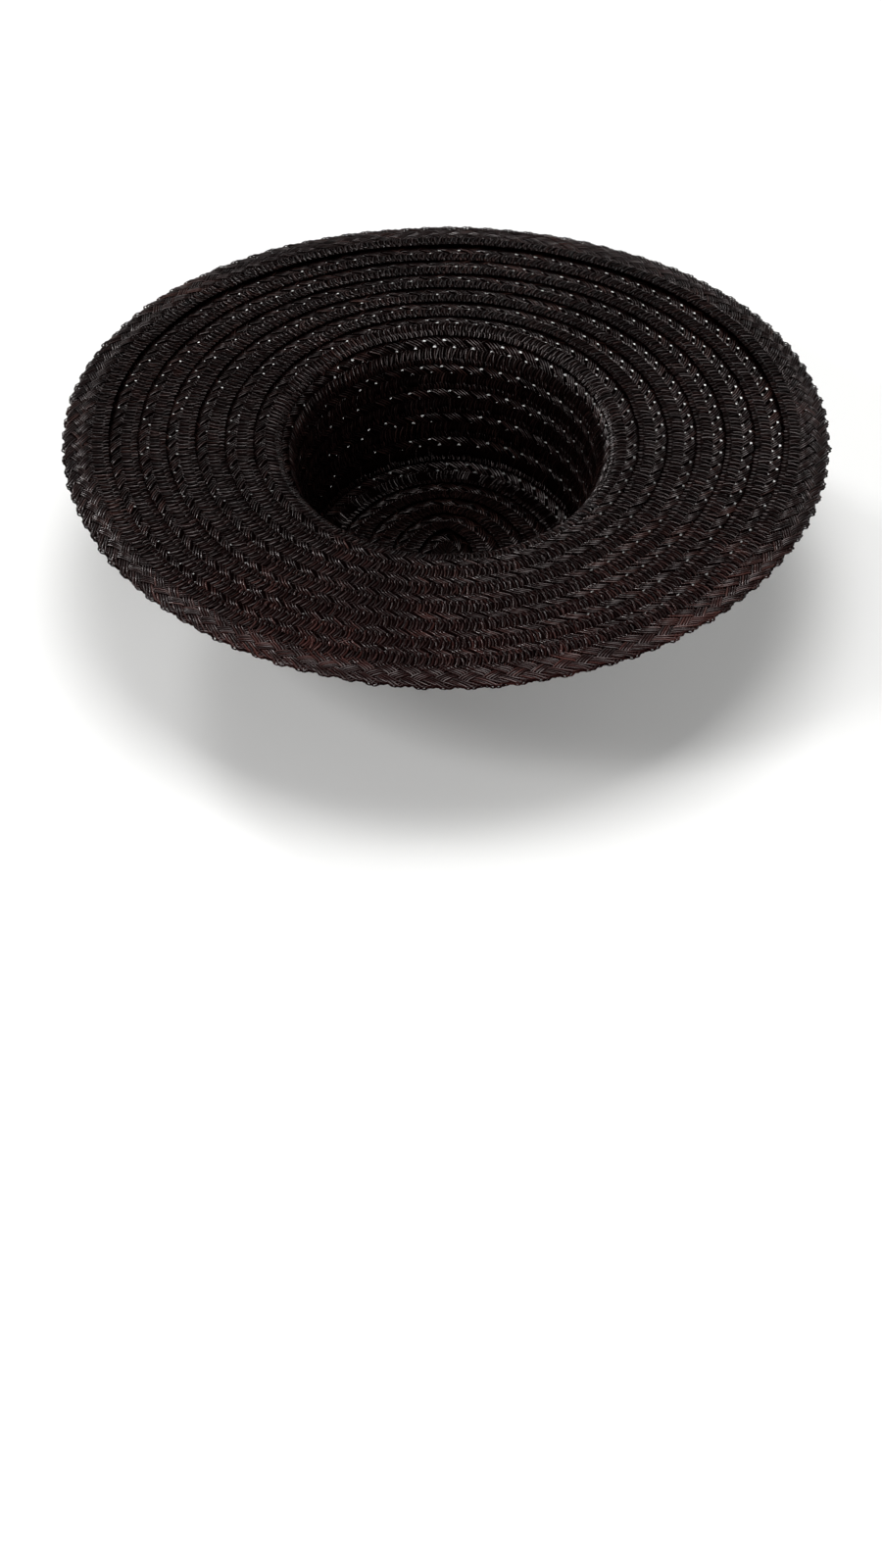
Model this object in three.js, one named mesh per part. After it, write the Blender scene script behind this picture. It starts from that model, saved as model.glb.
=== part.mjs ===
import * as THREE from 'three';

// Millimetres and degrees. The hat stands on its crown tip, its underside up (+Z) and its front to -Y.

// Head opening: an oval about 560 mm round
const HEAD_HALF_WIDTH = 80;
const HEAD_HALF_LENGTH = 98;

// Sewn plait: each row overlaps the next one inward, like tiles
const PLAIT_WIDTH = 22.8;
const ROW_PITCH = 14.82;
const WALL = 1.2;
const RIM_WALL = 2.4;
const SEAM_GAP = 0.3;

// Side view, from the rim inward to the middle of the tip
const BRIM_LENGTH = 102;
const BRIM_SLOPE = 2.5;
const BEND_RADIUS = 16;
const SIDE_LENGTH = 52;
const SIDE_TAPER = 5;
const SHOULDER_RADIUS = 18;
const TIP_REACH = 60;

// The brim is a low saddle: its sides stand higher than its front and back
const SADDLE_RISE = 3.7;

const FACETS = 56;
const ARC_STEP = 17;
const LEAST_STEP = 2;

const STRAW_COLOUR = 0x1d1817;

const ROWS = [
  { name: 'rim_row', turn: 0, wall: RIM_WALL },
  { name: 'brim_row_1', turn: 1, wall: WALL },
  { name: 'brim_row_2', turn: 2, wall: WALL },
  { name: 'brim_row_3', turn: 3, wall: WALL },
  { name: 'brim_row_4', turn: 4, wall: WALL },
  { name: 'brim_row_5', turn: 5, wall: WALL },
  { name: 'brim_row_6', turn: 6, wall: WALL },
  { name: 'headline_row', turn: 7, wall: WALL },
  { name: 'side_row_1', turn: 8, wall: WALL },
  { name: 'side_row_2', turn: 9, wall: WALL },
  { name: 'side_row_3', turn: 10, wall: WALL },
  { name: 'side_row_4', turn: 11, wall: WALL },
  { name: 'shoulder_row', turn: 12, wall: WALL },
  { name: 'tip_row_1', turn: 13, wall: WALL },
  { name: 'tip_row_2', turn: 14, wall: WALL },
  { name: 'tip_row_3', turn: 15, wall: WALL },
];
const TIP_CENTRE_TURN = 16;

const radians = THREE.MathUtils.degToRad;

// Lift of a row from its outer to its inner edge, so that neighbours clear each other in the overlap
const ROW_LIFT = (PLAIT_WIDTH / ROW_PITCH) * (WALL + SEAM_GAP);

const BRIM_HEADING = 180 + BRIM_SLOPE;
const SIDE_HEADING = 270 - SIDE_TAPER;
const TIP_HEADING = 180;

// Legs of the side view: length along it, heading at its start, and turn over its length
const PROFILE = [
  { leg: 'brim', length: BRIM_LENGTH, heading: BRIM_HEADING, turn: 0 },
  {
    leg: 'bend',
    length: BEND_RADIUS * radians(SIDE_HEADING - BRIM_HEADING),
    heading: BRIM_HEADING,
    turn: SIDE_HEADING - BRIM_HEADING,
  },
  { leg: 'side', length: SIDE_LENGTH, heading: SIDE_HEADING, turn: 0 },
  {
    leg: 'shoulder',
    length: SHOULDER_RADIUS * radians(SIDE_HEADING - TIP_HEADING),
    heading: SIDE_HEADING,
    turn: TIP_HEADING - SIDE_HEADING,
  },
  { leg: 'tip', length: TIP_REACH, heading: TIP_HEADING, turn: 0 },
];

// Moves a point along one leg; returns where it comes to and the heading there.
function walk(point, leg, distance) {
  const start = radians(leg.heading);
  if (leg.turn === 0) {
    const step = new THREE.Vector2(Math.cos(start), Math.sin(start)).multiplyScalar(distance);
    return { point: point.clone().add(step), heading: start };
  }
  const rate = radians(leg.turn) / leg.length;
  const end = start + rate * distance;
  const step = new THREE.Vector2(Math.sin(end) - Math.sin(start), Math.cos(start) - Math.cos(end));
  return { point: point.clone().add(step.divideScalar(rate)), heading: end };
}

// Where each leg starts, with the headline at the end of the bend and the tip's outer face on z = 0.
function legStarts() {
  const starts = [new THREE.Vector2(0, 0)];
  for (const leg of PROFILE) {
    starts.push(walk(starts[starts.length - 1], leg, leg.length).point);
  }
  const headline = starts[2].x;
  const tipHeight = starts[5].y - ROW_LIFT / 2 - WALL / 2;
  return starts.map((start) => new THREE.Vector2(start.x - headline, start.y - tipHeight));
}

const LEG_STARTS = legStarts();

// Point and heading of the side view, a distance along it from the rim.
function profileAt(along) {
  let left = along;
  let index = 0;
  while (index < PROFILE.length - 1 && left > PROFILE[index].length) {
    left -= PROFILE[index].length;
    index += 1;
  }
  return walk(LEG_STARTS[index], PROFILE[index], left);
}

// Distances along the side view where a row's section is taken: its edges, and each step of a curve between them.
function stationsOf(from, to) {
  const stations = [from];
  let legStart = 0;
  for (const leg of PROFILE) {
    const steps = Math.max(1, Math.ceil(Math.abs(leg.turn) / ARC_STEP));
    for (let step = 0; step <= steps; step += 1) {
      const along = legStart + (leg.length * step) / steps;
      const last = stations[stations.length - 1];
      if (along > last + LEAST_STEP && along < to - LEAST_STEP) {
        stations.push(along);
      }
    }
    legStart += leg.length;
  }
  stations.push(to);
  return stations;
}

// Section of a row in the side view: inward along its outside, then back along its inside.
function sectionOf(row) {
  const from = row.turn * ROW_PITCH;
  const outside = [];
  const inside = [];
  for (const along of stationsOf(from, from + PLAIT_WIDTH)) {
    const { point, heading } = profileAt(along);
    const inward = new THREE.Vector2(Math.sin(heading), -Math.cos(heading));
    const middle = ROW_LIFT * ((along - from) / PLAIT_WIDTH - 0.5);
    const outer = middle - WALL / 2;
    outside.push(point.clone().addScaledVector(inward, outer));
    inside.push(point.clone().addScaledVector(inward, outer + row.wall));
  }
  return [...outside, ...inside.reverse()];
}

const BRIM_INNER = LEG_STARTS[1].x;
const BRIM_OUTER = LEG_STARTS[0].x;

// Place in the hat of a point of the side view, at one facet round the head oval.
function placeRound(point, facet) {
  const angle = (2 * Math.PI * facet) / FACETS;
  const cos = Math.cos(angle);
  const sin = Math.sin(angle);
  const normal = new THREE.Vector2(cos / HEAD_HALF_WIDTH, sin / HEAD_HALF_LENGTH).normalize();
  const x = HEAD_HALF_WIDTH * cos + point.x * normal.x;
  const y = HEAD_HALF_LENGTH * sin + point.x * normal.y;
  const reach = Math.max(0, (point.x - BRIM_INNER) / (BRIM_OUTER - BRIM_INNER));
  const endways = (y * y - x * x) / (x * x + y * y);
  return [x, y, point.y - SADDLE_RISE * reach * endways];
}

function meshOf(name, positions, triangles) {
  const geometry = new THREE.BufferGeometry();
  geometry.setAttribute('position', new THREE.Float32BufferAttribute(positions, 3));
  geometry.setIndex(triangles);
  geometry.computeVertexNormals();
  const material = new THREE.MeshStandardMaterial({ color: STRAW_COLOUR, roughness: 0.45 });
  material.name = 'straw';
  const mesh = new THREE.Mesh(geometry, material);
  mesh.name = name;
  return mesh;
}

// A row of plait: its section carried round the head oval into a closed ring.
function ringRow(row) {
  const section = sectionOf(row);
  const positions = [];
  const triangles = [];
  for (let facet = 0; facet < FACETS; facet += 1) {
    const next = (facet + 1) % FACETS;
    section.forEach((point, corner) => {
      positions.push(...placeRound(point, facet));
      const after = (corner + 1) % section.length;
      const a = facet * section.length + corner;
      const b = facet * section.length + after;
      const c = next * section.length + after;
      const d = next * section.length + corner;
      triangles.push(a, b, c, a, c, d);
    });
  }
  return meshOf(row.name, positions, triangles);
}

// The flat middle of the crown tip: an oval plate under the innermost row.
function tipCentre() {
  const edge = profileAt(TIP_CENTRE_TURN * ROW_PITCH).point;
  const positions = [0, 0, 0, 0, 0, WALL];
  const triangles = [];
  for (let facet = 0; facet < FACETS; facet += 1) {
    const next = (facet + 1) % FACETS;
    const [x, y] = placeRound(edge, facet);
    positions.push(x, y, 0, x, y, WALL);
    const low = 2 + 2 * facet;
    const lowNext = 2 + 2 * next;
    triangles.push(0, lowNext, low);
    triangles.push(1, low + 1, lowNext + 1);
    triangles.push(low, lowNext, lowNext + 1, low, lowNext + 1, low + 1);
  }
  return meshOf('tip_centre', positions, triangles);
}

const group = new THREE.Group();
group.name = 'sun_hat';
for (const row of ROWS) {
  group.add(ringRow(row));
}
group.add(tipCentre());

export default group;
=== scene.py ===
"""Wide brim sun hat of sewn black straw plait, resting on its crown tip with its underside up."""

from __future__ import annotations

import logging
import math
from dataclasses import dataclass, field
from enum import Enum

import bpy
import numpy as np
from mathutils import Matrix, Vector

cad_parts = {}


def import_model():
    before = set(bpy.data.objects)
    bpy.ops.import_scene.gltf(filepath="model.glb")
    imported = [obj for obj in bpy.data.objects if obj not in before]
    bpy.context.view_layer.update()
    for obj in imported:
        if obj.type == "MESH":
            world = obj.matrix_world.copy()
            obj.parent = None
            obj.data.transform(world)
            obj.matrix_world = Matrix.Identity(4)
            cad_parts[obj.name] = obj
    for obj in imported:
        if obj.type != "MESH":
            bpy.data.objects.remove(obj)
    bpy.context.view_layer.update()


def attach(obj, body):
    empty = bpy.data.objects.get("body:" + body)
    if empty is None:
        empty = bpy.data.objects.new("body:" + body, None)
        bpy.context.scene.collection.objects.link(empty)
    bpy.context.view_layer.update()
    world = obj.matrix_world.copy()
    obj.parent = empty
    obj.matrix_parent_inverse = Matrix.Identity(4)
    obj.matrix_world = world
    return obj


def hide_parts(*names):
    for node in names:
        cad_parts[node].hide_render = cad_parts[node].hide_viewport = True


LOG = logging.getLogger("sun_hat")
MM = 0.001
FULL_TURN = 2 * math.pi
ROUND_STEPS = 1440
INWARD = 180.0
DOWNWARD = 270.0
TINY = 1e-12
STRAW_ATTRIBUTE = "straw"
Array = np.ndarray
Socket = bpy.types.NodeSocket


class RowKind(Enum):
    """How a row of plait is laid."""

    DOUBLED = "doubled"
    SINGLE = "single"
    PLATE = "plate"


def start_clean() -> None:
    """Deselect everything, so that an operator acts on its own new piece alone."""
    if bpy.context.object and bpy.context.object.mode != "OBJECT":
        bpy.ops.object.mode_set(mode="OBJECT")
    bpy.ops.object.select_all(action="DESELECT")


def run_lengths(points: Array) -> Array:
    """Distance from the first of a line of points to each of them, measured along the line."""
    steps = np.linalg.norm(np.diff(points, axis=0), axis=1)
    return np.concatenate([[0.0], np.cumsum(steps)])


@dataclass(frozen=True)
class Leg:
    """One leg of the hat's side view, a straight or an arc, with its angles in radians."""

    length: float
    heading: float
    turn: float = 0.0

    def step(self, along: Array) -> tuple[Array, Array, Array]:
        """Walk along the leg.

        Args:
            along: Distances from the leg's start.

        Returns:
            The way outward and upward from the leg's start, and the heading there.
        """
        along = np.asarray(along, float)
        if self.turn == 0.0:
            heading = np.full_like(along, self.heading)
            return along * math.cos(self.heading), along * math.sin(self.heading), heading
        rate = self.turn / self.length
        end = self.heading + rate * along
        out = (np.sin(end) - math.sin(self.heading)) / rate
        up = (math.cos(self.heading) - np.cos(end)) / rate
        return out, up, end


@dataclass(frozen=True)
class RowLine:
    """The middle line of a row: angles round the hat, and the distance to each of them along the row."""

    angles: Array
    lengths: Array

    @property
    def total(self) -> float:
        """The whole length of the line."""
        return float(self.lengths[-1])

    def angle_at(self, along: Array) -> Array:
        """Angles round the hat at distances along the line, which may run past its end."""
        return np.interp(np.mod(along, self.total), self.lengths, self.angles)


@dataclass(frozen=True)
class HatForm:
    """The hat's sizes, in metres and degrees, as its solids have them."""

    head_half_width: float = 0.080
    head_half_length: float = 0.098
    plait_width: float = 0.0228
    row_pitch: float = 0.01482
    wall: float = 0.0012
    seam_gap: float = 0.0003
    brim_length: float = 0.102
    brim_slope: float = 2.5
    bend_radius: float = 0.016
    side_length: float = 0.052
    side_taper: float = 5.0
    shoulder_radius: float = 0.018
    saddle_rise: float = 0.0037
    tip_reach: float = 0.060

    @property
    def row_lift(self) -> float:
        """Rise of a row from its outer to its inner edge, which clears the row below it."""
        return self.plait_width / self.row_pitch * (self.wall + self.seam_gap)

    def legs(self) -> list[Leg]:
        """List the legs of the side view: brim, bend, side, shoulder and tip, from the rim inward.

        Returns:
            The five legs.
        """
        brim = math.radians(INWARD + self.brim_slope)
        side = math.radians(DOWNWARD - self.side_taper)
        tip = math.radians(INWARD)
        return [
            Leg(self.brim_length, brim),
            Leg(self.bend_radius * (side - brim), brim, side - brim),
            Leg(self.side_length, side),
            Leg(self.shoulder_radius * (side - tip), side, tip - side),
            Leg(self.tip_reach, tip),
        ]

    def trace(self, along: Array) -> tuple[Array, Array, Array]:
        """Find points of the side view.

        Args:
            along: Distances along it from the rim.

        Returns:
            Each point's offset outward from the head oval, its height and its heading.
        """
        legs = self.legs()
        starts = [np.zeros(2)]
        reaches = [0.0]
        for leg in legs:
            out, up, _ = leg.step(np.array(leg.length))
            starts.append(starts[-1] + np.array([float(out), float(up)]))
            reaches.append(reaches[-1] + leg.length)
        headline, tip_middle = starts[2], starts[-1]
        shift = np.array([-headline[0], self.row_lift / 2 + self.wall / 2 - tip_middle[1]])
        along = np.asarray(along, float)
        offset, height, heading = (np.zeros_like(along) for _ in range(3))
        for index, leg in enumerate(legs):
            low = -np.inf if index == 0 else reaches[index]
            high = np.inf if index == len(legs) - 1 else reaches[index + 1]
            here = (along >= low) & (along < high)
            out, up, turned = leg.step(along[here] - reaches[index])
            offset[here] = starts[index][0] + shift[0] + out
            height[here] = starts[index][1] + shift[1] + up
            heading[here] = turned
        return offset, height, heading

    def around(self, offset: float) -> RowLine:
        """Measure an oval that runs beside the head oval.

        Args:
            offset: How far outside the head oval it runs.

        Returns:
            The oval's line.
        """
        angles = np.linspace(0.0, FULL_TURN, ROUND_STEPS + 1)
        points = self.place(angles, np.full_like(angles, offset), np.zeros_like(angles))
        return RowLine(angles, run_lengths(points[:, :2]))

    def place(self, angle: Array, offset: Array, height: Array) -> Array:
        """Put points of the side view in their place round the head.

        Args:
            angle: Angles round the head oval.
            offset: Offsets outward from the oval.
            height: Heights in the side view.

        Returns:
            The points, one in each row.
        """
        cos, sin = np.cos(angle), np.sin(angle)
        across, along = cos / self.head_half_width, sin / self.head_half_length
        size = np.hypot(across, along)
        x = self.head_half_width * cos + offset * across / size
        y = self.head_half_length * sin + offset * along / size
        inner = self.brim_start()
        outer = inner - self.brim_length * math.cos(self.legs()[0].heading)
        reach = np.clip((offset - inner) / (outer - inner), 0.0, None)
        endways = (y * y - x * x) / np.maximum(x * x + y * y, TINY)
        return np.stack([x, y, height - self.saddle_rise * reach * endways], axis=1)

    def brim_start(self) -> float:
        """Measure where the bend runs out into the brim.

        Returns:
            That place's offset from the head oval.
        """
        bend = self.legs()[1]
        out, _, _ = bend.step(np.array(bend.length))
        return -float(out)


@dataclass(frozen=True)
class Blank:
    """A straight straw, modelled once for its copies: its points, and the corners of its triangles."""

    points: Array
    triangles: Array


@dataclass(frozen=True)
class Station:
    """One station of a straw's way through the weave: its middle, and the way to its left edge."""

    middle: tuple[float, float, float]
    left: tuple[float, float]


@dataclass(frozen=True)
class ZigzagLeg:
    """One slanting leg of a straw's zigzag, which rises inward or falls outward."""

    start: float
    fold_at: float
    rise: float
    shift: float


@dataclass(frozen=True)
class BackingStraw:
    """A flat straw that runs lengthways inside the plait, between two distances from its outer edge.

    Its holes are at a place in each repeat, or there are none, and its mark is how dark it is painted, as
    shade seen through the gaps between the woven straws.
    """

    near: float
    far: float
    hole: float | None
    mark: float


@dataclass(frozen=True)
class RibColumn:
    """A column of ribs: its middle across the plait, its ribs' length and their lean in degrees."""

    middle: float
    length: float
    lean: float


@dataclass
class Plait:
    """One repeat of the flat straw plait: four bands of straws, and the ribbed edge beside them.

    Its directions are along the row, across it from the outer edge inward, and out of its face.
    """

    # Bands of woven straws
    repeat: float = 10.9 * MM
    slant: float = 32.0
    bands: int = 4
    straws: int = 4
    straw_sides: int = 4
    stations: int = 17
    straw_pitch: float = 1.24 * MM
    straw_width: float = 1.14 * MM
    straw_thickness: float = 0.7 * MM
    ridge_height: float = 0.5
    lift: float = 0.36 * MM
    outer_fold: float = 0.15 * MM
    crossing: float = 2.3 * MM
    fold_run: float = 0.8 * MM
    fold_cut: float = 0.25 * MM
    fold_lift: float = 0.4
    fold_width: float = 0.55
    fold_stations: int = 2
    finger: float = 1.1 * MM
    scallop: float = 1.4 * MM
    scallop_middle: float = 0.5
    # Flat straws inside the plait, painted near-black as shade behind the gaps
    backing: tuple[BackingStraw, ...] = (
        BackingStraw(near=1.7 * MM, far=9.7 * MM, hole=None, mark=0.94),
        BackingStraw(near=9.7 * MM, far=11.0 * MM, hole=0.0, mark=0.8),
        BackingStraw(near=11.0 * MM, far=13.1 * MM, hole=None, mark=0.8),
        BackingStraw(near=13.1 * MM, far=14.4 * MM, hole=0.5, mark=0.8),
        BackingStraw(near=14.4 * MM, far=21.0 * MM, hole=None, mark=0.8),
    )
    backing_thickness: float = 0.24 * MM
    backing_lap: float = 0.08 * MM
    # Ribbed edge
    rib_pitch: float = 3.3 * MM
    rib_columns: tuple[RibColumn, ...] = (
        RibColumn(middle=17.4 * MM, length=6.0 * MM, lean=8.0),
        RibColumn(middle=21.3 * MM, length=3.4 * MM, lean=-14.0),
    )
    rib_strands: tuple[float, ...] = (-0.8 * MM, 0.8 * MM)
    # Each rib strand's darkness, one strand darker than the other, with painted shade towards its edges
    rib_marks: tuple[float, ...] = (0.3, 0.55)
    rib_edge: float = 0.5
    rib_sides: int = 3
    rib_stations: int = 3
    rib_pinch: tuple[float, float] = (0.3, 0.5)
    rib_width: float = 1.7 * MM
    rib_thickness: float = 0.8 * MM
    rib_height: float = 0.1 * MM
    rib_bow: float = 0.4 * MM
    # Straight straws for the rows to copy
    straw_blank: Blank = field(init=False)
    rib_blank: Blank = field(init=False)
    bar_blank: Blank = field(init=False)

    def model_blanks(self) -> None:
        """Model one plain straw, one rib and one flat backing straw, which the rows copy and bend."""
        self.straw_blank = self.tube(self.straw_sides, self.stations, closed=True)
        self.rib_blank = self.tube(self.rib_sides, self.rib_stations, closed=False)
        points = self.rib_blank.points
        points[:, 2] = 2.0 * points[:, 2] - 1.0
        points[:, :2] *= 1.0 - np.abs(points[:, 2:]) * np.array(self.rib_pinch)
        start_clean()
        bpy.ops.mesh.primitive_cube_add(size=1.0, location=(0.5, 0.5, 0.0))
        bar = bpy.context.object
        bpy.ops.object.transform_apply(location=True, rotation=True, scale=True)
        bpy.ops.object.mode_set(mode="EDIT")
        bpy.ops.mesh.quads_convert_to_tris()
        bpy.ops.object.mode_set(mode="OBJECT")
        self.bar_blank = self.take(bar)

    def tube(self, sides: int, stations: int, closed: bool) -> Blank:
        """Model a straight tube of length 1 with a ridge on top.

        Args:
            sides: Number of its sides.
            stations: Number of rings of points along it.
            closed: Whether its ends are filled.

        Returns:
            The tube, 1 wide to each side at most.
        """
        length = 1.0
        start_clean()
        bpy.ops.mesh.primitive_cylinder_add(
            vertices=sides,
            radius=1.0,
            depth=length,
            end_fill_type="NGON" if closed else "NOTHING",
            location=(0.0, 0.0, length / 2),
        )
        piece = bpy.context.object
        bpy.ops.object.transform_apply(location=True, rotation=True, scale=True)
        bpy.ops.object.mode_set(mode="EDIT")
        bpy.ops.mesh.select_mode(type="EDGE")
        bpy.ops.mesh.select_all(action="DESELECT")
        bpy.ops.object.mode_set(mode="OBJECT")
        for edge in piece.data.edges:
            low, high = (piece.data.vertices[i].co.z for i in edge.vertices)
            edge.select = abs(high - low) > length / 2
        bpy.ops.object.mode_set(mode="EDIT")
        bpy.ops.mesh.subdivide(number_cuts=stations - 2)
        bpy.ops.mesh.quads_convert_to_tris()
        bpy.ops.object.mode_set(mode="OBJECT")
        blank = self.take(piece)
        blank.points[:, 0] /= np.abs(blank.points[:, 0]).max()
        return blank

    @staticmethod
    def take(piece: bpy.types.Object) -> Blank:
        """Read a modelled blank into arrays and remove it.

        Args:
            piece: The blank, all of triangles.

        Returns:
            The blank's points and triangles.
        """
        mesh = piece.data
        points = np.empty(len(mesh.vertices) * 3)
        mesh.vertices.foreach_get("co", points)
        triangles = np.array([list(face.vertices) for face in mesh.polygons], int)
        bpy.data.objects.remove(piece)
        bpy.data.meshes.remove(mesh)
        return Blank(points.reshape(-1, 3), triangles)

    def near_fold(self) -> Array:
        """How much each station of a zigzag follows the outer fold, from 0 to 1."""
        away = np.abs(np.arange(self.stations) - (self.stations - 1) / 2)
        return np.clip(1.0 - away / self.fold_stations, 0.0, 1.0)

    def fold_station(self, along: float, across: float) -> Station:
        """Station at a fold, where the straw turns over and is narrowed."""
        return Station((along, across, 0.0), (0.0, self.fold_width))

    def leg_station(self, leg: ZigzagLeg, run: float, height: float, inset: float = 0.0) -> Station:
        """Station on a slanting leg.

        Args:
            leg: The leg.
            run: Distance along it from its fold.
            height: Height over the plait's middle, as a share of the lift.
            inset: How far inward it is moved.

        Returns:
            The station.
        """
        cos, sin = math.cos(math.radians(self.slant)), math.sin(math.radians(self.slant))
        along = leg.start + run * cos + leg.shift
        across = leg.fold_at + leg.rise * run * sin + inset
        return Station((along, across, height * self.lift), (-leg.rise * sin, cos))

    def crossings(self, leg: ZigzagLeg, length: float) -> list[Station]:
        """Lay a leg over and under the bands that it crosses.

        Args:
            leg: The leg.
            length: Its length from fold to fold.

        Returns:
            Two stations for each band, where the straw comes to it and leaves it.
        """
        stations = []
        for number in range(1, self.bands):
            middle = number * length / self.bands - leg.shift / (2 * math.cos(math.radians(self.slant)))
            height = -leg.rise if number % 2 else leg.rise
            for run in (middle - self.crossing, middle + self.crossing):
                stations.append(self.leg_station(leg, run, height))
        return stations

    def zigzag(self, straw: int) -> list[Station]:
        """Lay out one straw of a band, from one inner fold to the next.

        Args:
            straw: Its number in the band.

        Returns:
            Its stations.
        """
        slant = math.radians(self.slant)
        half = self.bands / 2 * self.repeat
        length = half / math.cos(slant)
        inner_fold = self.outer_fold + half * math.tan(slant)
        shift = (straw - (self.straws - 1) / 2) * self.straw_pitch / math.sin(slant)
        aside = 2 * straw / (self.straws - 1) - 1
        inset = self.scallop * (aside * aside - self.scallop_middle)
        outward = ZigzagLeg(start=0.0, fold_at=inner_fold, rise=-1.0, shift=shift)
        inward = ZigzagLeg(start=half, fold_at=self.outer_fold, rise=1.0, shift=shift)
        return [
            self.fold_station(shift, inner_fold + self.finger),
            *self.crossings(outward, length),
            self.leg_station(outward, length - self.fold_run, self.fold_lift, inset),
            self.fold_station(half + shift, self.outer_fold + self.fold_cut + inset),
            self.leg_station(inward, self.fold_run, -self.fold_lift, inset),
            *self.crossings(inward, length),
            self.fold_station(2 * half + shift, inner_fold + self.finger),
        ]

    def path(self) -> tuple[Array, Array, Array]:
        """Lay out one zigzag of a whole band.

        Returns:
            For each straw and station its middle, the way to its left edge and the distance run.
        """
        tracks = [self.zigzag(straw) for straw in range(self.straws)]
        middles = np.array([[station.middle for station in track] for track in tracks])
        lefts = np.array([[station.left for station in track] for track in tracks])
        runs = np.array([run_lengths(track) for track in middles])
        return middles, lefts, runs


@dataclass
class WovenMesh:
    """Points and faces of one piece, gathered as arrays."""

    points: list[Array] = field(default_factory=list)
    straw: list[Array] = field(default_factory=list)
    triangles: list[Array] = field(default_factory=list)
    count: int = 0

    def add(self, points: Array, straw: Array, blank: Blank, copies: int) -> None:
        """Add copies of a blank.

        Args:
            points: The copies' points, all of one copy after all of another.
            straw: For each point its painted shade, its place along the grain, and its straw's tone.
            blank: The blank, for its triangles.
            copies: Number of copies.
        """
        each = len(blank.points)
        first = self.count + np.arange(copies)[:, None, None] * each
        self.triangles.append((blank.triangles[None] + first).reshape(-1, 3))
        self.points.append(points)
        self.straw.append(straw)
        self.count += copies * each

    def build(self, name: str, material: bpy.types.Material) -> bpy.types.Object:
        """Make the piece.

        Args:
            name: The piece's name.
            material: Its finish.

        Returns:
            The new object, at the origin.
        """
        points = np.concatenate(self.points)
        corners = np.concatenate(self.triangles).astype(np.int32)
        count = len(corners)
        mesh = bpy.data.meshes.new(name)
        mesh.vertices.add(len(points))
        mesh.vertices.foreach_set("co", points.astype(np.float32).ravel())
        mesh.loops.add(3 * count)
        mesh.loops.foreach_set("vertex_index", corners.ravel())
        mesh.polygons.add(count)
        mesh.polygons.foreach_set("loop_start", np.arange(0, 3 * count, 3, dtype=np.int32))
        mesh.polygons.foreach_set("loop_total", np.full(count, 3, np.int32))
        mesh.polygons.foreach_set("use_smooth", np.ones(count, bool))
        mesh.update(calc_edges=True)
        kept = mesh.attributes.new(STRAW_ATTRIBUTE, "FLOAT_VECTOR", "POINT")
        kept.data.foreach_set("vector", np.concatenate(self.straw).astype(np.float32).ravel())
        mesh.validate()
        mesh.materials.append(material)
        piece = bpy.data.objects.new(name, mesh)
        bpy.context.scene.collection.objects.link(piece)
        return piece


@dataclass(frozen=True)
class PlaitLayer:
    """One layer of plait in a row.

    It has a line, a height over the row's middle, the starts of its repeats, and what their length is
    multiplied by to close the row. A backed layer has the flat straws inside it.
    """

    line: RowLine
    height: float
    starts: Array
    stretch: float
    backed: bool
    seed: int


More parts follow.
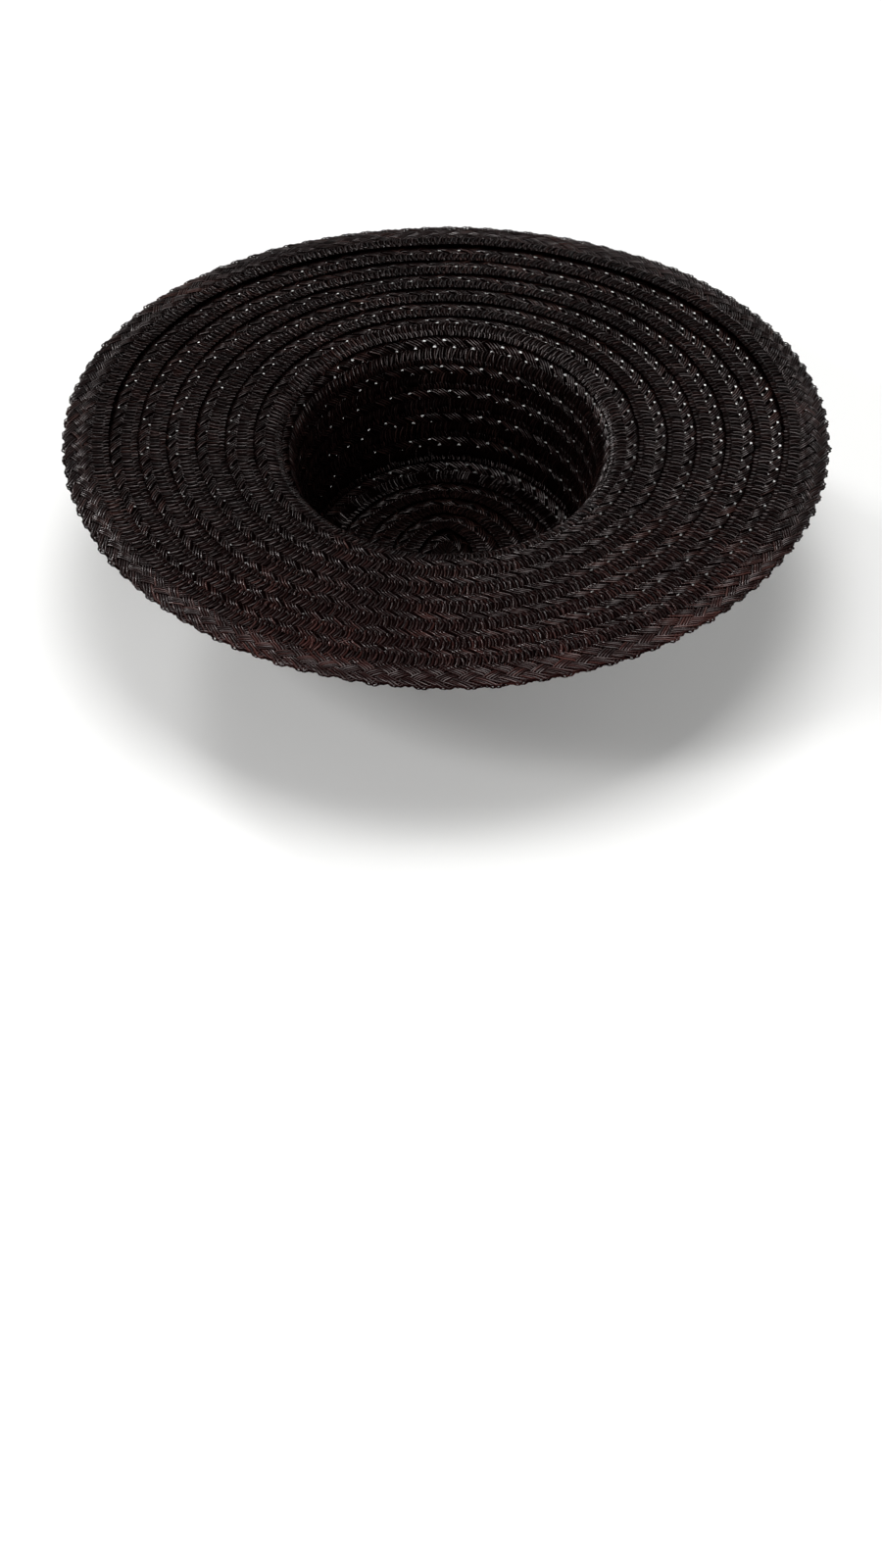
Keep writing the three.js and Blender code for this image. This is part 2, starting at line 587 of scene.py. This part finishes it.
@dataclass
class PlaitRow:
    """One turn of the plait round the hat, which stands for the solid of the same name."""

    node: str
    turn: int
    kind: RowKind
    form: HatForm
    plait: Plait
    # How the row is divided and closed
    first_flat_turn: int = 13
    slit_half_width: float = 0.3 * MM
    slit_half_length: float = 16.0 * MM
    least_repeats: int = 6
    least_ribs: int = 12
    row_shift: float = 0.37
    # Slow waver along the row
    waves: tuple[int, ...] = (3, 5, 8, 13, 21)
    more_ripples: int = 4
    wave_phases: float = 6.28
    wave_sum: float = 2.2
    wander: float = 0.22 * MM
    ripple: float = 0.12 * MM
    # Differences from straw to straw
    looseness: float = 0.07 * MM
    straw_raise: float = 0.6
    uneven_width: tuple[float, float] = (0.92, 1.06)
    uneven_fold: float = 0.22 * MM
    uneven_band: float = 0.35 * MM
    tone_shares: tuple[float, float] = (0.25, 0.75)
    grain_unit: float = 10.0 * MM
    grain_spread: float = 37.0
    # Painted shade beside and under the next plait
    painted_seam_reach: tuple[float, float] = (8.2 * MM, 10.8 * MM)
    painted_under_shade: float = 0.7
    # Small holes, which are widest on the loose side
    loose_side: float = 0.45
    hole_half: tuple[float, float] = (0.45 * MM, 1.25 * MM)
    hole_share: tuple[float, float] = (0.25, 0.95)
    uneven_hole: tuple[float, float] = (0.8, 1.2)
    # Differences from rib to rib
    rib_slack: float = 2.0
    rib_tone: float = 0.8
    uneven_lean: float = 8.0
    uneven_place: float = 0.22 * MM
    uneven_rib_length: tuple[float, float] = (0.9, 1.08)
    uneven_rib_width: tuple[float, float] = (0.85, 1.1)
    # Seeds of the differences
    first_seed: int = 100
    under_seed: int = 50
    rib_seed: int = 500
    backing_seed: int = 900

    def line(self) -> RowLine:
        """Measure the row's middle line.

        Returns:
            The line.
        """
        if self.kind is RowKind.PLATE:
            angles = np.linspace(0.0, FULL_TURN, ROUND_STEPS + 1)
            middle = np.full_like(angles, self.form.plait_width / 2)
            return RowLine(angles, run_lengths(self.on_plate(angles, middle, np.zeros_like(angles))))
        middle = self.turn * self.form.row_pitch + self.form.plait_width / 2
        offset, _, _ = self.form.trace(np.array([middle]))
        return self.form.around(float(offset[0]))

    def layer(self, height: float, shift: float, backed: bool, seed: int) -> PlaitLayer:
        """Divide a layer of plait into whole repeats.

        Args:
            height: Height of the plait's middle over the row's own.
            shift: Where its first repeat starts, in repeats.
            backed: Whether the flat backing straws are added.
            seed: Seed of its small differences.

        Returns:
            The layer.
        """
        line = self.line()
        repeats = max(self.least_repeats, round(line.total / self.plait.repeat))
        starts = (np.arange(repeats) + shift) * self.plait.repeat
        stretch = line.total / repeats / self.plait.repeat
        return PlaitLayer(line, height, starts, stretch, backed, seed)

    def on_plate(self, angle: Array, across: Array, height: Array) -> Array:
        """Lay points on the flat middle of the crown tip.

        Args:
            angle: Angles round it.
            across: Distances inward from its edge.
            height: Heights over the plait's middle.

        Returns:
            The points, one in each row.
        """
        edge, _, _ = self.form.trace(np.array([self.turn * self.form.row_pitch]))
        share = across / self.form.plait_width
        width = self.form.head_half_width + float(edge[0])
        length = self.form.head_half_length + float(edge[0])
        x = (width + (self.slit_half_width - width) * share) * np.cos(angle)
        y = (length + (self.slit_half_length - length) * share) * np.sin(angle)
        return np.stack([x, y, height + self.form.wall / 2], axis=1)

    def lay(self, flat: Array, layer: PlaitLayer) -> Array:
        """Bend a straight plait round the hat.

        Args:
            flat: Points along, across and out of the plait.
            layer: The layer that they are in.

        Returns:
            The points in the hat.
        """
        angle = layer.line.angle_at(flat[:, 0])
        random = np.random.default_rng(layer.seed)
        wander, ripple = np.zeros(len(flat)), np.zeros(len(flat))
        for waves in self.waves:
            wander += np.sin(waves * angle + random.uniform(0, self.wave_phases))
            ripple += np.sin((waves + self.more_ripples) * angle + random.uniform(0, self.wave_phases))
        across = flat[:, 1] + wander * self.wander / self.wave_sum
        height = flat[:, 2] + layer.height
        if self.turn < self.first_flat_turn:
            height = height + ripple * self.ripple / self.wave_sum
        if self.kind is RowKind.PLATE:
            return self.on_plate(angle, across, height)
        offset, level, heading = self.form.trace(self.turn * self.form.row_pitch + across)
        rise = height + self.form.row_lift * (across / self.form.plait_width - 0.5)
        return self.form.place(angle, offset + np.sin(heading) * rise, level - np.cos(heading) * rise)

    def put(self, mesh: WovenMesh, layer: PlaitLayer, flat: Array, marks: Array, blank: Blank) -> None:
        """Bend copies of a blank round the row and add them, with their points' marks, to a mesh."""
        mesh.add(self.lay(flat.reshape(-1, 3), layer), marks.reshape(-1, 3), blank, len(flat))

    def grain_place(self, run: Array, tone: Array) -> Array:
        """Place along the grain, which starts elsewhere on each straw."""
        return run / self.grain_unit + tone * self.grain_spread

    def weave(self, mesh: WovenMesh, layer: PlaitLayer) -> None:
        """Weave one layer of plait into a mesh.

        Args:
            mesh: The mesh that takes it.
            layer: The layer.
        """
        plait = self.plait
        random = np.random.default_rng(layer.seed)
        each = (len(layer.starts), 1)
        middles, lefts, runs = plait.path()
        blank = plait.straw_blank.points
        station = np.rint(blank[:, 2] * (plait.stations - 1)).astype(int)
        ridge = blank[None, :, 1] > plait.ridge_height
        band_tone = random.uniform(0.0, 1.0, each)
        band_raise = random.normal(0.0, self.looseness, each)
        band_fold = random.normal(0.0, self.uneven_band, each)
        for straw in range(plait.straws):
            centre = middles[straw][station][None]
            left = lefts[straw][station][None]
            loose = random.normal(0.0, self.looseness, each)
            width = plait.straw_width / 2 * random.uniform(*self.uneven_width, each)
            side = blank[None, :, 0] * width + loose
            raised = band_raise + random.normal(0.0, self.looseness * self.straw_raise, each)
            tip = band_fold + random.normal(0.0, self.uneven_fold, each)
            along = centre[:, :, 0] + side * left[:, :, 0] + layer.starts[:, None]
            across = centre[:, :, 1] + side * left[:, :, 1] + tip * plait.near_fold()[station][None]
            height = centre[:, :, 2] + blank[None, :, 1] * plait.straw_thickness / 2 + raised
            own_tone = random.uniform(0.0, 1.0, each)
            tone = self.tone_shares[0] * band_tone + self.tone_shares[1] * own_tone
            tone = np.repeat(tone, len(blank), axis=1)
            # Painted shade: a straw's sides are painted dark as shade between straws, its ridge as shade
            # beside or under the plait above
            shade = np.where(ridge, self.seam_shade(across, layer.backed), np.abs(blank[None, :, 0]))
            grain = self.grain_place(runs[straw][station][None], tone)
            flat = np.stack([along * layer.stretch, across, height], axis=2)
            self.put(mesh, layer, flat, np.stack([shade, grain, tone], axis=2), plait.straw_blank)
        covered = self.kind is RowKind.DOUBLED and layer.backed
        self.rib(mesh, layer, plait.rib_columns[:1] if covered else plait.rib_columns)
        if layer.backed:
            self.back(mesh, layer)

    def seam_shade(self, across: Array, backed: bool) -> Array:
        """How far the straw is painted dark and matt, as shade beside or under the plait that lies over
        it.

        Args:
            across: Distances inward from the row's outer edge.
            backed: Whether the straw is in the row's lower layer.

        Returns:
            The painted shade of each, from 0 to 1.
        """
        if self.kind is RowKind.DOUBLED:
            return np.full_like(across, self.painted_under_shade if backed else 0.0)
        near, far = self.painted_seam_reach
        return np.clip((far - across) / (far - near), 0.0, 1.0)

    def back(self, mesh: WovenMesh, layer: PlaitLayer) -> None:
        """Add the flat straws that run lengthways inside the plait and stop short at its small holes,
        painted dark as shade.

        Args:
            mesh: The mesh that takes them.
            layer: The layer that they are in.
        """
        plait = self.plait
        random = np.random.default_rng(layer.seed + self.backing_seed)
        blank = plait.bar_blank.points
        size = (len(layer.starts), len(blank))
        for straw in plait.backing:
            begins = layer.starts + (straw.hole or 0.0) * plait.repeat
            half = np.full(len(begins), -plait.backing_lap)
            if straw.hole is not None and self.kind is RowKind.SINGLE:
                half = self.hole_sizes(layer.line.angle_at(begins * layer.stretch), random)
            ends = begins + plait.repeat - np.roll(half, -1)
            begins = begins + half
            fills_plate = self.kind is RowKind.PLATE and straw is plait.backing[-1]
            low = straw.near - plait.backing_lap
            high = (self.form.plait_width if fills_plate else straw.far) + plait.backing_lap
            along = begins[:, None] + blank[None, :, 0] * (ends - begins)[:, None]
            across = np.broadcast_to(low + blank[None, :, 1] * (high - low), size)
            height = np.broadcast_to(blank[None, :, 2] * plait.backing_thickness, size)
            flat = np.stack([along * layer.stretch, across, height], axis=2)
            # Painted shade: the backing straw is painted dark by its mark
            marks = np.broadcast_to(np.array([straw.mark, 0.0, 0.0]), flat.shape)
            self.put(mesh, layer, flat, marks, plait.bar_blank)

    def hole_sizes(self, angle: Array, random: np.random.Generator) -> Array:
        """Choose how far each small hole of the plait is left open.

        Args:
            angle: Angle round the hat of each hole.
            random: Where the holes' differences come from.

        Returns:
            Half the length of each hole, under zero where it is closed.
        """
        ease = 0.5 + 0.5 * np.cos(angle - self.loose_side)
        size = self.hole_half[0] + (self.hole_half[1] - self.hole_half[0]) * ease
        size = size * random.uniform(*self.uneven_hole, len(angle))
        share = self.hole_share[0] + (self.hole_share[1] - self.hole_share[0]) * ease
        return np.where(random.uniform(0.0, 1.0, len(angle)) < share, size, -self.plait.backing_lap)

    def rib(self, mesh: WovenMesh, layer: PlaitLayer, columns: tuple[RibColumn, ...]) -> None:
        """Add columns of ribs along the row's inner edge.

        Args:
            mesh: The mesh that takes them.
            layer: The layer that they are in.
            columns: The columns.
        """
        plait = self.plait
        random = np.random.default_rng(layer.seed + self.rib_seed)
        blank = plait.rib_blank.points
        strands = len(plait.rib_strands)
        ribs = max(self.least_ribs, round(layer.line.total / plait.rib_pitch))
        pitch = layer.line.total / ribs
        each = (ribs * strands, 1)
        beside = np.tile(plait.rib_strands, ribs)[:, None]
        marks = np.tile(plait.rib_marks, ribs)[:, None]
        for number, column in enumerate(columns):
            places = np.repeat((np.arange(ribs) + number / 2) * pitch, strands)[:, None] + beside
            places = places + random.normal(0.0, self.uneven_place, each)
            turn = np.radians(column.lean + random.normal(0.0, self.uneven_lean, each))
            long = blank[None, :, 2] * column.length / 2 * random.uniform(*self.uneven_rib_length, each)
            wide = blank[None, :, 0] * plait.rib_width / 2 * random.uniform(*self.uneven_rib_width, each)
            bow = math.copysign(plait.rib_bow, column.lean) * (1.0 - blank[None, :, 2] ** 2)
            aside = random.normal(0.0, self.looseness * self.rib_slack, each)
            raised = random.normal(0.0, self.looseness, each)
            along = places + long * np.sin(turn) - wide * np.cos(turn) + bow
            across = column.middle + long * np.cos(turn) + wide * np.sin(turn) + aside
            height = plait.rib_height + blank[None, :, 1] * plait.rib_thickness / 2 + raised
            tone = np.repeat(random.uniform(0.0, self.rib_tone, each), len(blank), axis=1)
            # Painted shade towards each rib strand's edges, over its set darkness
            shade = marks + plait.rib_edge * np.abs(blank[None, :, 0])
            flat = np.stack([along, across, height], axis=2)
            straw = np.stack([shade, self.grain_place(long, tone), tone], axis=2)
            self.put(mesh, layer, flat, straw, plait.rib_blank)

    def build(self, material: bpy.types.Material) -> bpy.types.Object:
        """Make the row and set it in the solid's place.

        Args:
            material: The straw's finish.

        Returns:
            The row's object.
        """
        mesh = WovenMesh()
        seed = self.first_seed + self.turn
        if self.kind is RowKind.DOUBLED:
            self.weave(mesh, self.layer(0.0, 0.0, True, seed + self.under_seed))
            self.weave(mesh, self.layer(self.form.wall, 0.0, False, seed))
        else:
            self.weave(mesh, self.layer(0.0, self.row_shift * self.turn, True, seed))
        piece = mesh.build("plait_" + self.node, material)
        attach(piece, "root")
        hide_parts(self.node)
        return piece


@dataclass
class NodeBench:
    """A material's nodes, with short ways to add one and to join it to others."""

    tree: bpy.types.NodeTree

    def add(self, kind: str) -> bpy.types.Node:
        """Add a node of one kind."""
        return self.tree.nodes.new("ShaderNode" + kind)

    def feed(self, socket: Socket, value: Socket | float) -> None:
        """Give an input its value.

        Args:
            socket: The input.
            value: A plain number, or the output that it is joined to.
        """
        if isinstance(value, Socket):
            self.tree.links.new(value, socket)
        else:
            socket.default_value = value

    def split(self, vector: Socket) -> tuple[Socket, Socket, Socket]:
        """Part a vector into its three values.

        Args:
            vector: The vector.

        Returns:
            Its X, Y and Z.
        """
        node = self.add("SeparateXYZ")
        self.feed(node.inputs[0], vector)
        return node.outputs["X"], node.outputs["Y"], node.outputs["Z"]

    def math(self, operation: str, *values: Socket | float) -> Socket:
        """Work out one value from others.

        Args:
            operation: What is done with them.
            values: The numbers and outputs that it takes.

        Returns:
            The result.
        """
        node = self.add("Math")
        node.operation = operation
        for socket, value in zip(node.inputs, values):
            self.feed(socket, value)
        return node.outputs[0]

    def blend(self, value: Socket, ends: tuple[Socket | float, Socket | float],
              reach: tuple[float, float] = (0.0, 1.0)) -> Socket:
        """Turn a range of values into another one, held at its ends.

        Args:
            value: The value.
            ends: The result at both ends of the range.
            reach: The range of the value.

        Returns:
            The result.
        """
        node = self.add("MapRange")
        self.feed(node.inputs["Value"], value)
        for name, number in zip(("From Min", "From Max", "To Min", "To Max"), (*reach, *ends)):
            self.feed(node.inputs[name], number)
        return node.outputs["Result"]

    def noise(self, place: Socket, scale: float, detail: float) -> Socket:
        """Add an uneven value.

        Args:
            place: Where it is read.
            scale: How fine it is.
            detail: How many finer steps it has.

        Returns:
            The value.
        """
        node = self.add("TexNoise")
        self.feed(node.inputs["Vector"], place)
        node.inputs["Scale"].default_value = scale
        node.inputs["Detail"].default_value = detail
        return node.outputs["Fac"]


@dataclass(frozen=True)
class StrawFinish:
    """Dyed straw: brown-black, glossy along its ridges, with fine lengthways grain, painted shade at its
    edges and seams, and a less glossy front painted paler and redder as warm bounce light.
    """

    name: str = "dyed_straw"
    # Dye
    dark: tuple[float, float, float] = (0.0028, 0.0013, 0.0012)
    middle: tuple[float, float, float] = (0.0115, 0.0052, 0.0047)
    pale: tuple[float, float, float] = (0.044, 0.02, 0.0165)
    dye_steps: tuple[float, float, float] = (0.04, 0.36, 0.62)
    fade_scale: float = 26.0
    fade_detail: float = 3.0
    # Gloss
    sheen: tuple[float, float, float] = (1.0, 0.9, 0.89)
    roughness: tuple[float, float] = (0.17, 0.34)
    specular: tuple[float, float] = (0.56, 0.0)
    ridge_share: float = 0.48
    uneven_gloss: tuple[float, float] = (0.4, 1.6)
    gloss_seed: float = 7.3
    # Colour left where the painted shade is full, at straw edges, seams and backing
    edge_shade: float = 0.04
    # Front: painted warm bounce light, lighter painted edge shade, less gloss
    front_reach: tuple[float, float] = (-0.2, -0.06)
    front_painted_bounce_lift: float = 0.08
    front_painted_bounce_red: float = 1.35
    front_painted_edge_shade: float = 0.4
    matt_front: float = 0.48
    # Grain
    fibre_scale: tuple[float, float, float] = (3.2, 0.55, 40.0)
    fibre_detail: float = 2.0
    grain: float = 0.5
    grain_depth: float = 0.00012

    def make(self) -> bpy.types.Material:
        """Build the material.

        Returns:
            The material.
        """
        material = bpy.data.materials.new(self.name)
        material.use_nodes = True
        material.node_tree.nodes.clear()
        bench = NodeBench(material.node_tree)
        mark = bench.add("Attribute")
        mark.attribute_name = STRAW_ATTRIBUTE
        place = bench.add("TexCoord").outputs["Object"]
        # The attribute's first value is the painted shade, which darkens the colour and the gloss
        across, _, tone = bench.split(mark.outputs["Vector"])
        _, forward, _ = bench.split(place)
        edge = bench.math("MULTIPLY", across, across)
        fibre = self.fibre(bench, mark.outputs["Vector"])
        shader = bench.add("BsdfPrincipled")
        shader.inputs["Specular Tint"].default_value = (*self.sheen, 1.0)
        bench.feed(shader.inputs["Base Color"], self.dye_and_painted_light(bench, place, forward, tone, edge))
        bench.feed(shader.inputs["Specular IOR Level"], self.shine(bench, forward, tone, edge))
        bench.feed(shader.inputs["Roughness"], bench.blend(fibre, self.roughness))
        bench.feed(shader.inputs["Normal"], self.relief(bench, fibre))
        bench.feed(bench.add("OutputMaterial").inputs["Surface"], shader.outputs["BSDF"])
        return material

    def by_front(self, bench: NodeBench, forward: Socket, at_front: float, elsewhere: float) -> Socket:
        """Add a value that changes from the hat's front edge to the rest of it."""
        return bench.blend(forward, (at_front, elsewhere), self.front_reach)

    def fibre(self, bench: NodeBench, mark: Socket) -> Socket:
        """Add the straw's lengthways fibres.

        Args:
            bench: The material's nodes.
            mark: Place across and along the straw, and its tone.

        Returns:
            The fibres' height.
        """
        stretch = bench.add("Mapping")
        stretch.inputs["Scale"].default_value = self.fibre_scale
        bench.feed(stretch.inputs["Vector"], mark)
        return bench.noise(stretch.outputs["Vector"], 1.0, self.fibre_detail)

    def dye_and_painted_light(self, bench: NodeBench, place: Socket, forward: Socket, tone: Socket, edge: Socket) -> Socket:
        """Add the straw's dyed colour, uneven from straw to straw, with painted shade darkening their
        edges and seams, and painted warm bounce light making the front paler and redder.

        Args:
            bench: The material's nodes.
            place: Where the surface is.
            forward: Where it is from front to back.
            tone: The straw's own tone.
            edge: How much painted shade it has, most at the straw's edges and beside seams.

        Returns:
            The colour.
        """
        uneven = bench.noise(place, self.fade_scale, self.fade_detail)
        # Painted warm bounce light: the front is painted paler and redder
        paler = self.by_front(bench, forward, self.front_painted_bounce_lift, 0.0)
        ramp = bench.add("ValToRGB")
        first, last = ramp.color_ramp.elements
        first.position, last.position = self.dye_steps[0], self.dye_steps[2]
        first.color, last.color = (*self.dark, 1.0), (*self.pale, 1.0)
        ramp.color_ramp.elements.new(self.dye_steps[1]).color = (*self.middle, 1.0)
        bench.feed(ramp.inputs["Fac"], bench.math("MULTIPLY_ADD", tone, uneven, paler))
        redder = self.by_front(bench, forward, self.front_painted_bounce_red, 1.0)
        tint = bench.add("CombineXYZ")
        for socket, value in zip(tint.inputs, (redder, 1.0, 1.0)):
            bench.feed(socket, value)
        tinted = bench.add("VectorMath")
        tinted.operation = "MULTIPLY"
        bench.feed(tinted.inputs[0], ramp.outputs["Color"])
        bench.feed(tinted.inputs[1], tint.outputs["Vector"])
        shaded = bench.add("VectorMath")
        shaded.operation = "SCALE"
        bench.feed(shaded.inputs[0], tinted.outputs["Vector"])
        # Painted shade at the straws' edges and seams, lighter at the front
        edge_shade = self.by_front(bench, forward, self.front_painted_edge_shade, self.edge_shade)
        bench.feed(shaded.inputs["Scale"], bench.blend(edge, (1.0, edge_shade)))
        return shaded.outputs["Vector"]

    def shine(self, bench: NodeBench, forward: Socket, tone: Socket, edge: Socket) -> Socket:
        """Add the gloss on the straws' ridges, which differs from straw to straw.

        Args:
            bench: The material's nodes.
            forward: Where the surface is from front to back.
            tone: The straw's own tone.
            edge: How much painted shade it has, most at the straw's edges and beside seams.

        Returns:
            The specular level.
        """
        ridge = self.by_front(bench, forward, self.matt_front, self.specular[0])
        mirror = bench.blend(edge, (ridge, self.specular[1]), (0.0, self.ridge_share))
        pick = bench.math("FRACT", bench.math("MULTIPLY", tone, self.gloss_seed))
        return bench.math("MULTIPLY", mirror, bench.blend(pick, self.uneven_gloss))

    def relief(self, bench: NodeBench, fibre: Socket) -> Socket:
        """Raise the fibres a little.

        Args:
            bench: The material's nodes.
            fibre: The fibres' height.

        Returns:
            The normal.
        """
        bump = bench.add("Bump")
        bump.inputs["Strength"].default_value = self.grain
        bump.inputs["Distance"].default_value = self.grain_depth
        bench.feed(bump.inputs["Height"], fibre)
        return bump.outputs["Normal"]


@dataclass
class SunHat:
    """The whole hat: its rows of plait, from the rim inward to the middle of the crown tip."""

    form: HatForm = field(default_factory=HatForm)
    plait: Plait = field(default_factory=Plait)
    brim_rows: int = 6
    side_rows: int = 4
    tip_rows: int = 3

    def rows(self) -> list[PlaitRow]:
        """List the rows, each named for the solid that it stands for.

        Returns:
            The rows, from the rim inward.
        """
        names = ["rim_row"] + [f"brim_row_{n + 1}" for n in range(self.brim_rows)] + ["headline_row"]
        names += [f"side_row_{n + 1}" for n in range(self.side_rows)] + ["shoulder_row"]
        names += [f"tip_row_{n + 1}" for n in range(self.tip_rows)] + ["tip_centre"]
        kinds = {"rim_row": RowKind.DOUBLED, "tip_centre": RowKind.PLATE}
        return [
            PlaitRow(name, turn, kinds.get(name, RowKind.SINGLE), self.form, self.plait)
            for turn, name in enumerate(names)
        ]

    def build(self) -> None:
        """Model the plait and lay every row."""
        self.plait.model_blanks()
        material = StrawFinish().make()
        for row in self.rows():
            piece = row.build(material)
            LOG.info("%s: %d faces", piece.name, len(piece.data.polygons))


@dataclass(frozen=True)
class SoftLight:
    """A square soft light: where it hangs, its side, its power, and the point that it faces."""

    name: str
    place: tuple[float, float, float]
    side: float
    watts: float
    aim: tuple[float, float, float] = (0.0, 0.0, 0.05)

    def hang(self) -> None:
        """Hang the light."""
        lamp = bpy.data.lights.new(self.name, "AREA")
        lamp.shape = "SQUARE"
        lamp.size = self.side
        lamp.energy = self.watts
        hung = bpy.data.objects.new(self.name, lamp)
        hung.location = self.place
        hung.rotation_euler = (Vector(self.aim) - Vector(self.place)).to_track_quat("-Z", "Y").to_euler()
        bpy.context.scene.collection.objects.link(hung)


@dataclass
class Studio:
    """Floor, lights and camera."""

    # Floor
    floor_half: float = 30.0
    floor_colour: tuple[float, float, float] = (0.86, 0.86, 0.85)
    floor_roughness: float = 0.9
    floor_specular: float = 0.1
    # Camera
    frame_width: float = 900.0
    frame_height: float = 1600.0
    focal_pixels: float = 3329.0
    distance: float = 1.7
    elevation: float = 33.0
    brim_middle: tuple[float, float, float] = (0.0, 0.0, 0.0875)
    seen_at: tuple[float, float] = (456.0, 440.0)
    sensor: float = 36.0
    clip_start: float = 0.05
    # Lights
    room_light: tuple[float, float] = (0.28, 0.05)
    lights: tuple[SoftLight, ...] = (
        SoftLight("top", place=(0.1, 0.1, 2.3), side=1.4, watts=38.0, aim=(0.0, 0.0, 0.0)),
        SoftLight("key", place=(-1.5, -1.0, 1.5), side=0.5, watts=17.0),
        SoftLight("side", place=(1.8, 0.75, 1.15), side=0.6, watts=3.5),
        SoftLight("glint", place=(-1.25, 1.5, 1.45), side=0.4, watts=18.0),
        SoftLight("back", place=(0.75, 1.7, 0.9), side=0.35, watts=1.8),
        SoftLight("fill", place=(0.5, -2.0, 0.6), side=1.0, watts=34.0),
    )

    def lay_floor(self) -> None:
        """Lay a plain pale floor."""
        start_clean()
        bpy.ops.mesh.primitive_plane_add(size=2 * self.floor_half, location=(0, 0, 0))
        floor = bpy.context.object
        floor.name = "floor"
        material = bpy.data.materials.new("pale_floor")
        material.use_nodes = True
        shader = material.node_tree.nodes["Principled BSDF"]
        shader.inputs["Base Color"].default_value = (*self.floor_colour, 1.0)
        shader.inputs["Roughness"].default_value = self.floor_roughness
        shader.inputs["Specular IOR Level"].default_value = self.floor_specular
        floor.data.materials.append(material)

    def light_room(self) -> None:
        """Set the room's own light, which is brighter near the horizon than overhead."""
        world = bpy.data.worlds.new("room")
        world.use_nodes = True
        room = world.node_tree.nodes["Background"]
        room.inputs["Color"].default_value = (1.0, 1.0, 1.0, 1.0)
        bench = NodeBench(world.node_tree)
        _, _, up = bench.split(bench.add("TexCoord").outputs["Generated"])
        bench.feed(room.inputs["Strength"], bench.blend(up, self.room_light))
        bpy.context.scene.world = world

    def place_camera(self) -> None:
        """Set the camera at the photograph's angle to the brim, the hat in the same part of the frame."""
        camera = bpy.data.cameras.new("camera")
        camera.sensor_fit = "VERTICAL"
        camera.sensor_height = self.sensor
        camera.lens = self.sensor * self.focal_pixels / self.frame_height
        camera.clip_start = self.clip_start
        held = bpy.data.objects.new("camera", camera)
        bpy.context.scene.collection.objects.link(held)
        tilt = math.radians(self.elevation)
        away = Vector((0.0, -math.cos(tilt), math.sin(tilt)))
        held.location = Vector(self.brim_middle) + self.distance * away
        up = math.atan((self.frame_height / 2 - self.seen_at[1]) / self.focal_pixels)
        over = math.atan((self.seen_at[0] - self.frame_width / 2) / self.focal_pixels)
        held.rotation_euler = (math.pi / 2 - tilt - up, 0.0, over)
        bpy.context.scene.camera = held

    def build(self) -> None:
        """Set up the whole studio."""
        self.place_camera()
        self.lay_floor()
        for light in self.lights:
            light.hang()
        self.light_room()
        bpy.context.scene.view_settings.view_transform = "Standard"


def main() -> None:
    """Build the studio and the hat."""
    logging.basicConfig(level=logging.INFO, format="%(name)s: %(message)s")
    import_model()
    Studio().build()
    SunHat().build()


if __name__ == "__main__":
    main()
